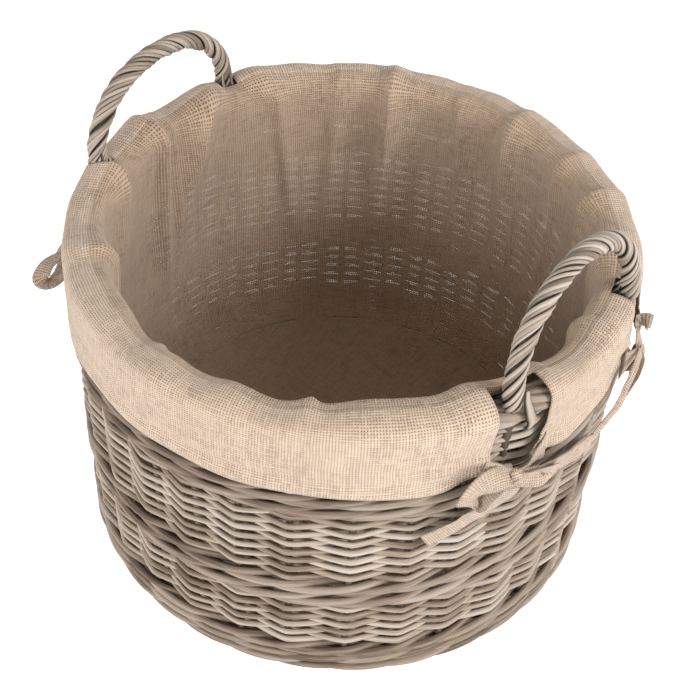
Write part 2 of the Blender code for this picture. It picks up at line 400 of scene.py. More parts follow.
def hessian_material(name, base, holes=True, contrast=1.0):
    """Plain-weave jute: threads that wander, swell and cross over and under, with pinholes between them.

    The pinholes are painted dark, as the shade seen through them, and open in their middle if holes is true.
    """
    n = Material(name)
    u, v = n.uv()
    wander_u = n.noise(n.times(u, 6.0), n.times(v, 45.0), 3.0)
    wander_v = n.noise(n.times(u, 45.0), n.times(v, 6.0), 9.0)
    a = n.plus(n.math("DIVIDE", u, THREAD_PITCH), n.times(wander_u, 0.8))
    b = n.plus(n.math("DIVIDE", v, THREAD_PITCH), n.times(wander_v, 0.8))
    warp, warp_slub = hessian_thread(n, a, b, 1.7)
    weft, weft_slub = hessian_thread(n, b, a, 5.3)
    over = n.times(n.math("SINE", n.times(a, pi)), n.math("SINE", n.times(b, pi)))
    warp_height = n.plus(warp, n.times(over, 0.55))
    weft_height = n.minus(weft, n.times(over, 0.55))
    height = n.math("MAXIMUM", warp_height, weft_height)
    cover = n.math("MAXIMUM", warp, weft)
    warp_on_top = n.math("GREATER_THAN", warp_height, weft_height)
    slub = n.plus(n.times(warp_slub, warp_on_top), n.times(weft_slub, n.minus(1.0, warp_on_top)))
    fibre = n.noise(n.times(u, 2600.0), n.times(v, 2600.0))
    cloud = n.noise(n.times(u, 14.0), n.times(v, 14.0), detail=3.0)
    shade = n.plus(n.plus(n.times(slub, 0.55), n.times(fibre, 0.30)), n.times(cloud, 0.15))
    light = tuple(c * (1 + 0.08 * contrast) for c in base)
    deep = tuple(c * (1 - 0.24 * contrast) for c in base)
    colour = n.ramp(shade, ((0.34, deep), (0.50, base), (0.66, light)))
    # painted shade: the dark seen through the pinholes, where no thread covers the cloth
    pinhole = (base[0] * 0.24, base[1] * 0.20, base[2] * 0.17)
    n.set("Base Color", n.tinted(n.map_range(cover, 0.56, 0.10, 0.96), colour, pinhole))
    n.set("Roughness", 0.93)
    n.set("Specular IOR Level", 0.15)
    n.set("Sheen Weight", 0.25)
    n.set("Sheen Roughness", 0.5)
    n.bump(n.new("ShaderNodeClamp", {"Value": height, "Min": 0.0, "Max": 1.6}).outputs[0], 0.85, 0.0006)
    if holes:
        n.set("Alpha", n.math("GREATER_THAN", cover, -0.05))
    return n.material


WILLOW = willow_material("willow", (0.13, 0.09, 0.064), (0.395, 0.32, 0.255), (0.57, 0.51, 0.455))
WILLOW_WALE = willow_material(
    "willow_wale", (0.10, 0.068, 0.05), (0.30, 0.235, 0.185), (0.43, 0.37, 0.32), painted_shade_from=0.22)
WILLOW_HANDLE = willow_material(
    "willow_handle", (0.13, 0.10, 0.08), (0.41, 0.345, 0.29), (0.53, 0.48, 0.425), painted_shade_from=0.64)
# painted shade: a dark copy of the willow for rods seen only in shade, the stakes between the wales, the base
# sticks and the handles' cores
WILLOW_SHADED = willow_material("willow_inner", (0.05, 0.034, 0.024), (0.12, 0.085, 0.06), (0.20, 0.15, 0.11))
HESSIAN = hessian_material("hessian", (0.66, 0.51, 0.39), holes=False, contrast=1.3)
# painted shade: a darker, warmer copy of the cuffs' hessian for the bag inside the basket and its floor,
# which are the same cloth
SHADED_HESSIAN = hessian_material("shaded_hessian", (0.55, 0.405, 0.29), contrast=1.4)
HESSIAN_TIE = hessian_material("hessian_tie", (0.58, 0.45, 0.35), holes=False)


# ---------------------------------------------------------------- woven wall

SAMPLES = 10  # points along a rod between one stake and the next


def stake_angles():
    """The stakes stand a little unevenly, as in hand work, but clear of the handles' feet."""
    draw = np.random.default_rng(11)
    even = tau * (np.arange(STAKES) + 0.5) / STAKES
    return even + draw.uniform(-1, 1, STAKES) * radians(0.9)


STAKE_ANGLES = stake_angles()


def angle_at(position):
    """The angle of a place counted in stakes: 0 at the first stake, STAKES a full turn later."""
    whole = np.floor(position).astype(int)
    part = position - whole
    here = STAKE_ANGLES[whole % STAKES] + tau * (whole // STAKES)
    after = whole + 1
    there = STAKE_ANGLES[after % STAKES] + tau * (after // STAKES)
    return here + (there - here) * part


def sway(theta, z):
    """How the rows ride up and down round the wall, fading at the foot."""
    return 0.0016 * ripple(theta, 1, 5, 21) * np.clip(z / 0.06, 0, 1)


def softened_triangle(x):
    """From 1 at even numbers to -1 at odd ones, in nearly straight lines."""
    return np.arcsin(0.985 * np.cos(pi * x)) / np.arcsin(0.985)


def randing(name, node, seed):
    """Plain weaving: a row passes in front of one stake and behind the next, and the next row the other way.

    Each row is three rods end to end, each tapering from its butt to its tip.
    """
    draw = np.random.default_rng(seed)
    low, high = node_bottom(node), node_top(node)
    rows = max(1, round((high - low) / ROW_PITCH))
    pitch = (high - low) / rows
    position = np.arange(STAKES * SAMPLES) / SAMPLES
    theta = angle_at(position)
    rods = Rods()
    for row in range(rows):
        z = low + pitch * (row + 0.5)
        weave = softened_triangle(position + row)
        joins = sorted(draw.choice(STAKES // 2, 3, replace=False) * 2 + (1 - row % 2))
        piece = np.searchsorted(np.array(joins), position, side="right") % 3
        tones = draw.uniform(0.15, 0.85, 3)[piece]
        into = np.zeros(len(position))  # how far along its rod a point is, 0 to 1
        for k, join in enumerate(joins):
            after = (position - join) % STAKES
            span = (joins[(k + 1) % 3] - join) % STAKES
            into = np.where(piece == (k + 1) % 3, after / span, into)
        thick = WEAVER_RADIUS * draw.uniform(0.97, 1.05) * (1.07 - 0.17 * into)
        bulge = 1 + 0.10 * smooth_noise(len(position), SAMPLES * 1.5, seed * 97 + row)
        reach = (STAKE_RADIUS + WEAVER_RADIUS) * weave * np.clip(bulge, 0.8, 1.04)
        fade = np.minimum(1, (STAKES - position) / 2)  # over the row's last two stakes
        lift = 0.00045 * smooth_noise(len(position), SAMPLES, seed * 31 + row) * fade
        path = polar(wall_radius(z) + reach, theta, z + sway(theta, z) + lift)
        rods.add(path, thick, tones, closed=True, up=(0, 0, 1), start=draw.uniform(0, 50), crease=1.0)
    return rods.make(name, WILLOW, BODY_BASKET)


def waling(name, node, rounds, climb, seed):
    """Three thicker rods, each in front of two stakes and behind the third, climbing over one another.

    rounds are the rounds' heights as shares of the node's, and climb is how far a rod rises and falls.
    """
    draw = np.random.default_rng(seed)
    low, high = node_bottom(node), node_top(node)
    rods = Rods()
    laps = 3 * STAKES
    position = np.arange(laps * SAMPLES) / SAMPLES
    for level in rounds:
        phase = (position + draw.integers(0, 3)) % 3.0
        front = np.interp(
            phase, [0, 0.12, 0.88, 1.5, 2.12, 2.88, 3], [-1, -0.86, 0.86, 1.12, 0.86, -0.86, -1])
        rise = np.interp(phase, [0, 0.55, 2.45, 3], [0.0, -1.0, 1.0, 0.0])
        kernel = np.ones(5) / 5
        front = np.convolve(np.concatenate([front[-2:], front, front[:2]]), kernel, "valid")
        rise = np.convolve(np.concatenate([rise[-2:], rise, rise[:2]]), kernel, "valid")
        theta = angle_at(position)
        z = low + (high - low) * level
        size = WALER_RADIUS * (1 + 0.08 * smooth_noise(len(position), SAMPLES * 4, seed + 5))
        tone = 0.5 + 0.4 * smooth_noise(len(position), SAMPLES * 7, seed + 9)
        for part in range(3):
            span = slice(part * STAKES * SAMPLES, (part + 1) * STAKES * SAMPLES + 1)
            angle = theta[span] if part < 2 else np.append(theta[span], theta[0] + tau * 3)
            where = polar(
                wall_radius(z) + (STAKE_RADIUS + WALER_RADIUS) * close(front, span),
                angle,
                z + sway(angle, z) + climb * close(rise, span),
            )
            rods.add(where, close(size, span), close(tone, span), up=(0, 0, 1), start=draw.uniform(0, 50),
                     crease=0.9)
    return rods.make(name, WILLOW_WALE, BODY_BASKET)


def close(values, span):
    """The values of a span, with the first value after the last when the span runs past the end."""
    found = values[span]
    return found if len(found) == span.stop - span.start else np.append(found, values[0])


def border():
    """The stakes' ends rolled along the rim: parallel strands that twist slowly round the border's middle."""
    draw = np.random.default_rng(5)
    rods = Rods()
    low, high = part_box("rolled_border")
    strands, turns, strand_radius = 8, 9, 0.0040
    middle = (low[2] + high[2]) / 2
    reach_out, reach_in = 0.0050, 0.0040
    half_height = (high[2] - low[2]) / 2 - strand_radius
    centre = high[1] - reach_out - strand_radius - reach_in
    theta = tau * np.arange(640) / 640
    for k in range(strands):
        twist = tau * k / strands - turns * theta
        radius = centre + (reach_out + reach_in) * np.cos(twist)
        z = middle + half_height * np.sin(twist)
        size = strand_radius * (1 + 0.10 * ripple(theta, 3, 14, 60 + k))
        tone = 0.5 + 0.35 * ripple(theta, 2, 9, 80 + k)
        rods.add(polar(radius, theta, z), size, tone, closed=True, up=(0, 0, 1), start=draw.uniform(0, 50))
    return rods.make("border_strands", WILLOW_WALE, BODY_BASKET)


def stakes():
    """The uprights, which show only in the gaps of the wales."""
    rods = Rods()
    draw = np.random.default_rng(3)
    for angle in STAKE_ANGLES:
        z = np.linspace(node_bottom("stake_01"), node_top("stake_01"), 12)
        path = polar(wall_radius(z), np.full(12, angle), z)
        rods.add(path, STAKE_RADIUS, draw.uniform(0.2, 0.8), up=(sin(angle), -cos(angle), 0),
                 start=draw.uniform(0, 50))
    # painted shade: the stakes take the dark willow, as dark as the gaps they show in
    return rods.make("stakes", WILLOW_SHADED, BODY_BASKET)


STICK_RADIUS = 0.0032
STICK_PITCH = 0.0085  # between the sticks where they cross
BASE_SPOKES = 12  # two ends of each of the six sticks
BINDING_EDGE = 0.06  # finer rods are woven inside this radius


def base_stick(layer, offset, reach, middle):
    """One of three sticks side by side in a layer of the cross, its ends fanned out beyond the crossing."""
    end = polar(reach - 0.002, radians(30) * offset, 0.0)
    side = STICK_PITCH * offset
    half = ((0.012, side), (0.028, side * 1.05), (0.050, side + (end[1] - side) * 0.10), (end[0], end[1]))
    points = [(-x, y, 0) for x, y in reversed(half)] + [(x, y, 0) for x, y in half]
    path = curve_through(points, 0.006)
    turn = pi / 2 * layer
    x = path[:, 0] * cos(turn) - path[:, 1] * sin(turn)
    y = path[:, 0] * sin(turn) + path[:, 1] * cos(turn)
    crossing = np.exp(-((np.hypot(x, y) / 0.024) ** 2))
    return np.stack([x, y, middle + (layer * 2 - 1) * STICK_RADIUS * crossing], axis=1)


def base():
    """Round base: three sticks crossed over three and fanned out, with pairs of rods woven round them."""
    draw = np.random.default_rng(8)
    low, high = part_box("base_weave")
    middle, reach = (low[2] + high[2]) / 2, high[0]
    sticks = Rods()
    for layer in (0, 1):
        for offset in (-1, 0, 1):
            sticks.add(base_stick(layer, offset, reach, middle), STICK_RADIUS, draw.uniform(0.3, 0.8),
                       up=(0, 0, 1), start=draw.uniform(0, 50))
    rods = Rods()
    position = np.arange(BASE_SPOKES * SAMPLES) / SAMPLES
    theta = tau * position / BASE_SPOKES
    ring, row = 0.024, 0
    while ring < reach - 0.003:
        fine = ring < BINDING_EDGE
        for pair in (0, 1):
            z = middle + 0.0046 * np.cos(pi * (position + row + pair))
            radius = ring + 0.0006 * np.sin(6 * theta + row)
            rods.add(polar(radius, theta, z), 0.0019 if fine else 0.0023, draw.uniform(0.2, 0.8), closed=True,
                     up=(0, 0, 1), sides=6, start=draw.uniform(0, 50))
        ring += 0.0040 if fine else 0.0048
        row += 1
    rods.make("base_pairing", WILLOW, BODY_BASKET)
    # painted shade: the crossed sticks take the dark willow
    return sticks.make("base_sticks", WILLOW_SHADED, BODY_BASKET)


def wall():
    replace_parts(randing("lower_randing", "lower_weave", 1), "lower_weave")
    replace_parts(randing("upper_randing", "upper_weave", 2), "upper_weave")
    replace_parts(randing("top_randing", "top_weave", 3), "top_weave")
    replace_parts(waling("foot_waling", "foot_wale", (0.205, 0.49, 0.775), 0.0028, 41), "foot_wale")
    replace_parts(waling("middle_waling", "middle_wale", (0.25, 0.75), 0.0046, 42), "middle_wale")
    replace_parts(waling("upper_waling", "upper_wale", (0.27, 0.74), 0.0036, 43), "upper_wale")
    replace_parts(border(), "rolled_border")
    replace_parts(stakes(), *(f"stake_{k:02d}" for k in range(1, STAKES + 1)))
    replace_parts(base(), "base_weave", *(f"base_stick_{k}" for k in range(1, 7)))


# ---------------------------------------------------------------- handles

ROPING_STRANDS = 10
ROPING_PITCH = 0.063
STRAND_RADIUS = 0.00205
STRAND_REACH = 0.0063


def bow_line(first, second, height, lean):
    """The middle of a handle, from one foot on the border over to the other."""
    start, end = (polar(wall_radius(BORDER_TOP), angle, BORDER_TOP) for angle in (first, second))
    middle, half = (start + end) / 2, (start - end) / 2
    outward = np.array([middle[0], middle[1], 0.0]) / hypot(middle[0], middle[1])
    upward = np.array([0.0, 0.0, 1.0])
    points = [start - 0.007 * upward]
    steps = 24
    for k in range(steps + 1):
        turn = pi * k / steps
        rise = sin(turn) ** BOW_SQUARENESS if 0 < k < steps else 0.0
        reach = abs(cos(turn)) ** BOW_SQUARENESS * (1 if k * 2 < steps else -1)
        points.append(middle + half * reach + outward * lean * rise + upward * (BOW_UPRIGHT + height * rise))
    points.append(end - 0.007 * upward)
    return curve_through(points, 0.0022)


def handle(side, first, second, height, lean, seed):
    """A bow pushed down into the wall, roped with strands that twist round it."""
    draw = np.random.default_rng(seed)
    line = bow_line(first, second, height, lean)
    along = np.concatenate([[0], np.cumsum(np.linalg.norm(np.diff(line, axis=0), axis=1))])
    side_way, top_way = frames_along(line, False, None)
    spread = 1 + 0.20 * np.exp(-np.minimum(along, along[-1] - along) / 0.010)
    tuck = 0.45 + 0.55 * step_between(0.0, 0.009, np.minimum(along, along[-1] - along))  # into the border
    rods = Rods()
    for k in range(ROPING_STRANDS):
        angle = tau * (k / ROPING_STRANDS + along / ROPING_PITCH)
        angle = angle + 0.26 * smooth_noise(len(line), 26, seed + k)
        reach = STRAND_REACH * spread * tuck * (1 + 0.11 * smooth_noise(len(line), 20, seed + 40 + k))
        away = np.cos(angle)[:, None] * side_way + np.sin(angle)[:, None] * top_way
        size = STRAND_RADIUS * draw.uniform(0.84, 1.16)
        size = size * (1 + 0.14 * smooth_noise(len(line), 30, seed + 80 + k))
        tone = draw.uniform(0.25, 0.75) + 0.25 * smooth_noise(len(line), 50, seed + 120 + k)
        rods.add(line + reach[:, None] * away, size, tone, up=away, start=draw.uniform(0, 50), crease=-1.0)
    for foot, inward in ((first, 1), (second, -1)):
        lashings(rods, foot, inward, draw)
    roping = rods.make(f"{side}_roping", WILLOW_HANDLE, BODY_BASKET)
    core = Rods()
    down = [[polar(wall_radius(z), foot, z) for z in (0.16, 0.20, 0.26, 0.30)] for foot in (first, second)]
    path = curve_through([*down[0], *line[4:-4:6], *reversed(down[1])], 0.004)
    core.add(path, 0.0026 + 0.0030 * step_between(0.20, 0.33, path[:, 2]), 0.4)
    # painted shade: the core inside the roping takes the dark willow
    bow = core.make(f"{side}_bow", WILLOW_SHADED, BODY_BASKET)
    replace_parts(roping, f"{side}_handle_roping")
    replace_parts(bow, f"{side}_handle_bow")


def lashings(rods, foot, inward, draw):
    """Where a foot meets the border, flattened ends lap over it and tuck in below.

    Each foot has two inside, and the two feet at the front have a leaf-shaped one outside.
    """
    outer = node_reach("rolled_border") + 0.0012
    inner = node_reach("rolled_border") - 0.0238
    centre = wall_radius(BORDER_TOP)
    # degrees from the foot at the start and at the end, 1 outside or -1 inside, half width
    for begin, finish, face, width in (
        (1.9, 2.9, 1, 0.0050), (-1.0, -1.5, -1, 0.0030), (1.2, 1.7, -1, 0.0030),
    ):
        if face > 0 and foot not in (FEET[0], FEET[3]):
            continue
        edge = outer if face > 0 else inner
        stations = (
            (centre + 0.0062 * face, begin * 0.9, BORDER_TOP + 0.016),
            (centre + 0.0080 * face, begin, BORDER_TOP + 0.006),
            (edge + 0.0008 * face, (begin + finish) / 2, BORDER_TOP - 0.005),
            (edge + 0.0020 * face, finish, BORDER_TOP - 0.014),
            (edge + 0.0002 * face, finish, BORDER_TOP - 0.023),
            (centre + 0.0030 * face, finish, BORDER_TOP - 0.030),
        )
        path = curve_through([polar(r, foot + inward * radians(d), z) for r, d, z in stations], 0.0016)
        leaf = np.interp(np.linspace(0, 1, len(path)), [0, 0.25, 0.55, 0.8, 1], [0.45, 0.75, 1.0, 0.55, 0.25])
        rods.add(path, leaf * width * draw.uniform(0.92, 1.08), draw.uniform(0.1, 0.5),
                 start=draw.uniform(0, 50), up=(cos(foot), sin(foot), 0), flat=0.6, crease=-1.1)


def handles():
    for number, one in enumerate(HANDLES):
        handle(*one, 301 + number)


# ---------------------------------------------------------------- liner

CLOTH_STEP = 0.0036  # between the cloth's rows
COLUMNS = 416  # of the cloth, once round
CLOTH_RADIUS = 0.232  # where the cloth's width is measured, between the bag and the cuff
FLOOR_RADIUS = 0.195
HEM_DEPTH = 0.014


def cloth_profile():
    """(radius, height) from the floor's seam up the inside, over the border, and down the cuff to its hem."""
    top = RIM_TOP
    inner = 0.2118
    outer = CUFF_RADIUS - 0.0008
    points = [
        (FLOOR_RADIUS, 0.0262), (0.2025, 0.0330), (0.2095, 0.0500), (0.2145, 0.0800), (0.2168, 0.1200),
        (0.2172, 0.1700), (0.2168, 0.2200), (0.2140, 0.2700), (inner, top - 0.022),
        (inner + 0.0015, top - 0.010),
        (inner + 0.0070, top - 0.0030), (inner + 0.0170, top - 0.0008), (outer - 0.0105, top - 0.0012),
        (outer - 0.0035, top - 0.0050), (outer - 0.0004, top - 0.0125), (outer, top - 0.026),
        (outer - 0.0003, top - 0.045), (outer - 0.0010, CUFF_HEM),
    ]
    return curve_through(points, CLOTH_STEP)


PROFILE = cloth_profile()
RIM_ROW = int(np.argmax(PROFILE[:, 0] > 0.2245))  # where the slots end, on top of the rim
LAST_ROW = len(PROFILE) - 1


# How far a slot's sides close round its foot at the rim, in degrees: under the handle, and by the long cuff
CLOSING = ((-1.2, 1.4), (3.4, 3.2), (4.2, 3.6), (4.2, 3.6))


def beside_slots(theta):
    """For each angle: how far outside its nearest slot it is, and how far rim and hem there move into it."""
    best = np.full(theta.shape, 10.0)
    pull = np.zeros(theta.shape)
    hem_pull = np.zeros(theta.shape)
    for foot, inward, (under, beyond) in zip(FEET, (1, -1, 1, -1), CLOSING):
        off = around(theta, foot)
        is_flap = off * inward > 0
        edge = np.where(is_flap, FLAP_EDGE, CUFF_EDGE)
        outside = np.abs(off) - edge
        inside_fade = np.clip(np.abs(off) / edge, 0, 1)
        fade = np.where(outside > 0, np.exp(-((outside / radians(7)) ** 2)), inside_fade)
        move = -np.sign(off) * np.where(is_flap, radians(under), radians(beyond)) * fade
        tied = -np.sign(off) * np.where(is_flap, radians(2.8), radians(0.8)) * fade
        nearer = outside < best
        best = np.where(nearer, outside, best)
        pull = np.where(nearer, move, pull)
        hem_pull = np.where(nearer, tied, hem_pull)
    return best, pull, hem_pull


# Deep folds inside the bag: angle and width in degrees, depth, and lean round the wall in radians per metre
# down. A fold is steeper towards larger angles, or towards smaller ones where its width is negative
PLEATS = (
    (206, -4.0, 0.010, 0.3), (185, -3.0, 0.014, 0.1), (170, -5.0, 0.014, 1.5), (150, 4.4, 0.010, -0.6),
    (133, 3.0, 0.006, 0.3), (119, 4.6, 0.016, 0.1), (101, 3.2, 0.006, -0.4), (84, 5.4, 0.017, 0.1),
    (66, 3.0, 0.006, 0.3), (51, 4.4, 0.014, 0.1), (31, 3.2, 0.009, -0.3), (6, 3.6, 0.007, 0.2),
    (-12, 3.0, 0.006, 0.0), (-60, 3.4, 0.007, 0.3), (-95, 3.8, 0.008, -0.3), (-128, 3.0, 0.007, 0.2),
)


# Where the cloth stands up on the rim: angle, width in degrees, height
PEAKS = (
    (radians(185), 4.5, 0.0055), (FEET[2] - CUFF_EDGE - radians(3), 3.5, 0.0055),
    (FEET[0] - CUFF_EDGE - radians(3), 4.0, 0.0045),
)
SEAM = radians(181)  # where the bag's two edges are sewn together
SLACK = radians(-40)  # the middle of a stretch of rim where the bag bulges inwards


def bag_folds(t, height):
    """How far the bag stands in from its profile, at every angle and height."""
    fold = 0.0046 * step_between(0.13, 0.29, height) * ripple(t + 0.5 * height, 4, 13, 101)
    for centre, width, depth, lean in PLEATS:
        off = around(t, radians(centre) + lean * (RIM_TOP - height)) / radians(width)
        shape = np.exp(-(np.where(off > 0, off * 2.0, -off) ** 1.5))
        fold = fold + depth * shape * step_between(0.09, 0.27, height)
    fold = fold + 0.0018 * step_between(0.04, 0.16, height) * ripple(t + 0.25 * height, 7, 19, 102)
    fold = np.where(fold < 0, 0.25 * fold, fold)  # the wall is close behind
    return fold + 0.0026 * step_between(0.085, 0.03, height) * ripple(t + 1.2 * height, 9, 26, 103)


def cloth_surface():
    """Points of the whole cloth, as rows up the profile by columns round it, with its folds."""
    theta = tau * np.arange(COLUMNS) / COLUMNS
    tangent = unit(np.gradient(PROFILE, axis=0))
    out = np.stack([-tangent[:, 1], tangent[:, 0]], axis=1)  # away from the wicker, on either side of the rim
    t, r = np.meshgrid(theta, np.arange(LAST_ROW + 1))
    outside, pull, hem_pull = beside_slots(t)
    beside = np.exp(-((np.clip(outside, 0, None) / radians(6)) ** 2))
    calm = 1 - 0.7 * beside
    height = PROFILE[:, 1][r]
    over = step_between(RIM_ROW - 6, RIM_ROW + 10, r)  # 0 on the bag, 1 on the cuff
    crown = np.exp(-(((r - (RIM_ROW + 2)) / 8.0) ** 2))  # 1 on top of the rim
    hanging = over * step_between(RIM_ROW + 8, LAST_ROW, r)  # 1 at the cuff's hem
    fold = (1 - over) * bag_folds(t, height)
    for centre, width, lift in PEAKS:
        fold = fold + lift * crown * swelling(t, centre, radians(width))
    fold = fold + 0.0075 * swelling(t, SLACK, radians(15)) * np.exp(-(((r - (RIM_ROW - 2)) / 9.0) ** 2))
    fold = fold + crown * (0.0019 * ripple(t, 9, 28, 104) + 0.0030 * ripple(t, 3, 12, 105) - 0.0012) * calm
    fold = fold + 0.0014 * hanging * ripple(t + 0.6 * height, 6, 17, 106) - 0.0006 * over
    fold = fold + hanging * beside * (0.0030 * np.cos(outside / radians(1.5)) + 0.0016)
    fold = fold + 0.0011 * hanging * np.sin(height * 330 + 3 * ripple(t, 2, 7, 109))  # creases along the cuff
    hem_row = LAST_ROW - HEM_DEPTH / CLOTH_STEP
    fold = fold + 0.0008 * step_between(hem_row - 0.6, hem_row + 0.6, r)
    fold = fold + 0.0022 * swelling(t, SEAM, 0.012) * (1 - over)
    radius = PROFILE[:, 0][r] + out[:, 0][r] * fold
    z = height + out[:, 1][r] * fold
    z = z + 0.0018 * hanging * ripple(t, 3, 11, 107)
    z = z + 0.0165 * hanging * beside  # the ties lift the corners of the hem
    closing = step_between(RIM_ROW - 7, RIM_ROW - 1, r) * step_between(LAST_ROW - 2, RIM_ROW + 5, r)
    twist = 0.004 * step_between(0.13, 0.29, height) * (1 - over) * ripple(t, 5, 12, 108) * calm
    return polar(radius, t + twist + closing * pull + hanging**2 * hem_pull, z)


CLOTH_POINTS = cloth_surface()


def column(angle):
    return int(round((angle % tau) / tau * COLUMNS))


def cloth_piece(name, first_row, last_row, start, end, thickness, material):
    """The part of the cloth between two rows and two angles, as its own mesh."""
    whole = end - start >= tau - 1e-6
    count = COLUMNS if whole else (column(end) - column(start)) % COLUMNS
    columns = (column(start) + np.arange(count + (0 if whole else 1))) % COLUMNS
    points = CLOTH_POINTS[first_row : last_row + 1][:, columns]
    rows, cols = points.shape[:2]
    spans = cols if whole else cols - 1
    i = np.repeat(np.arange(rows - 1), spans)
    j = np.tile(np.arange(spans), rows - 1)
    j2 = (j + 1) % cols
    loops = np.stack([i * cols + j, i * cols + j2, (i + 1) * cols + j2, (i + 1) * cols + j], axis=1)
    width = tau * CLOTH_RADIUS / COLUMNS
    u0 = (j + column(start)) * width
    v0 = (i + first_row) * CLOTH_STEP
    uvs = np.stack([u0, v0, u0 + width, v0, u0 + width, v0 + CLOTH_STEP, u0, v0 + CLOTH_STEP], axis=1)
    mesh = bpy.data.meshes.new(name)
    corners = loops.reshape(-1).astype(np.int32)
    fill_mesh(mesh, points.reshape(-1, 3), corners, np.full(len(loops), 4), uvs.reshape(-1, 2))
    obj = place(name, mesh, material, BODY_LINER)
    if thickness:
        solid = obj.modifiers.new("cloth", "SOLIDIFY")
        solid.thickness = thickness
        solid.offset = 1.0
    return obj, (count * tau * CLOTH_RADIUS / COLUMNS, (last_row - first_row) * CLOTH_STEP)


def liner():
    # painted shade: the bag inside the basket takes the darker hessian
    side, flat = cloth_piece("liner_bag", 0, RIM_ROW, 0.0, tau, 0.0, SHADED_HESSIAN)
    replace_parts(side, "liner_side")
    front_right, rear_right, rear_left, front_left = FEET
    for name, start, end, node in (
        ("cuff_rear", rear_right + CUFF_EDGE, rear_left - CUFF_EDGE, "rear_cuff"),
        ("cuff_front", front_left + CUFF_EDGE, front_right + tau - CUFF_EDGE, "front_cuff"),
        ("flap_right", front_right + tau + FLAP_EDGE, rear_right + tau - FLAP_EDGE, "right_flap"),
        ("flap_left", rear_left + FLAP_EDGE, front_left - FLAP_EDGE, "left_flap"),
    ):
        piece, flat = cloth_piece(name, RIM_ROW, LAST_ROW, start, end, 0.0010, HESSIAN)
        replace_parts(piece, node)
        if name.startswith("flap"):
            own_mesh(piece)
    floor()


def floor():
    """The liner's floor: a disc with soft wrinkles that meets the bag's lowest row."""
    low = node_top("liner_floor")
    rings, spokes = 40, 160
    theta = tau * np.arange(spokes) / spokes
    seam = CLOTH_POINTS[0]
    seam_angle = np.unwrap(np.arctan2(seam[:, 1], seam[:, 0]))
    seam_angle = seam_angle - tau * round(float(seam_angle[0]) / tau)
    seam_radius = np.append(np.hypot(seam[:, 0], seam[:, 1]), FLOOR_RADIUS)
    edge = np.interp(theta, np.append(seam_angle, seam_angle[0] + tau), seam_radius)
    share = np.linspace(0.02, 1, rings)[:, None]
    radius = share * edge[None, :]
    z = low + 0.0008 + 0.0010 * ripple(theta, 2, 6, 201)[None, :] * share * (1 - share) * 4
    z = z + 0.0007 * np.cos(radius * 95 + 2 * ripple(theta, 1, 4, 202)[None, :]) * (1 - share**6)
    z = z * (1 - share**8) + (float(seam[:, 2].mean()) - 0.0004) * share**8
    points = polar(radius, np.broadcast_to(theta, radius.shape), z).reshape(-1, 3)
    i = np.repeat(np.arange(rings - 1), spokes)
    j = np.tile(np.arange(spokes), rings - 1)
    j2 = (j + 1) % spokes
    quads = [i * spokes + j, (i + 1) * spokes + j, (i + 1) * spokes + j2, i * spokes + j2]
    loops = np.concatenate([np.stack(quads, axis=1).reshape(-1), np.arange(spokes)])
    sizes = np.append(np.full((rings - 1) * spokes, 4), spokes)
    uvs = points[loops][:, :2]
    mesh = bpy.data.meshes.new("floor_cloth")
    fill_mesh(mesh, points, loops.astype(np.int32), sizes, uvs)
    # painted shade: the floor takes the darker hessian too
    obj = place("floor_cloth", mesh, SHADED_HESSIAN, BODY_LINER)
    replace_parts(obj, "liner_floor")


# ---------------------------------------------------------------- ties

TAPE_WIDTH = 0.0195
TAPE_THICKNESS = 0.0022

# Tapes of a bow: degrees from the handle's foot towards the long cuff, mm outside the cuff, mm above the hem,
# and roll of the tape in degrees, 0 where it lies flat against the basket
CORNER_TAPES = (
    ((6.4, 1.5, 19, 0), (4.6, 4, 17, 12), (2.4, 7, 13, 25), (0.4, 8, 10, 10)),
    ((-7.2, 1.5, 19, 0), (-5.0, 4, 18, -10), (-2.4, 7, 13, -22), (0.2, 8, 10, -10)),
)
LOOP_BY_THE_CUFF = (
    (0.3, 8, 9, 60), (3.0, 10, 15, 50), (6.2, 11, 16, 25), (8.6, 11, 10, 0), (9.6, 10, 0, -20),
    (8.9, 9, -9, -60), (7.3, 9, -7, -90), (5.2, 9, 0, -75), (2.6, 8, 4, -60), (0.3, 8, 5, -50),
)
TAIL_BY_THE_CUFF = (
    (0.3, 9, 6, 10), (1.6, 10, -6, 10), (4.0, 6.5, -20, 0), (7.5, 2, -35, -8), (11.5, -0.5, -47, -6),
    (15.4, -1.5, -57, 0),
)
LOOP_BY_THE_FLAP = (
    (0.0, 8, 8, -20), (-3.0, 12, 10, -40), (-6.5, 13, 4, -30), (-7.5, 12, -4, 0), (-5.0, 10, -5, 30),
    (-1.0, 8, 2, 20),
)
TAIL_BY_THE_FLAP = (
    (-0.5, 9, 7, 0), (-5.0, 9, 2, -14), (-10.0, 7, -7, -6), (-16.0, 5.5, -16, 4), (-21.6, 5, -22, 0),
)
LONG_TAIL = (
    (-0.5, 9, 7, 30), (-2.2, 9, 22, 30), (-5.0, 11, 27, 40), (-8.4, 12, 23, 40), (-14.1, 12, 5, 40),
    (-18.6, 6, -14, 30), (-21.0, 3, -22, 20), (-24.0, 1, -30, 10),
)
LOOP_STANDING_OUT = (
    (0.3, 8, 6, 20), (7.0, 7, 9, 45), (13.0, 10, 9, 65), (16.4, 19, 9, 78), (18.6, 23, 3, 80),
    (19.2, 17, -2, 75), (16.5, 9, -1, 65), (10.0, 7, 2, 45), (0.3, 8, 3, 20),
)
FLICK = ((0.0, 6, 12, 0), (0.6, 4, 28, 35), (1.0, 5, 38, 60), (1.2, 9, 42, 75), (1.2, 13, 41, 85))


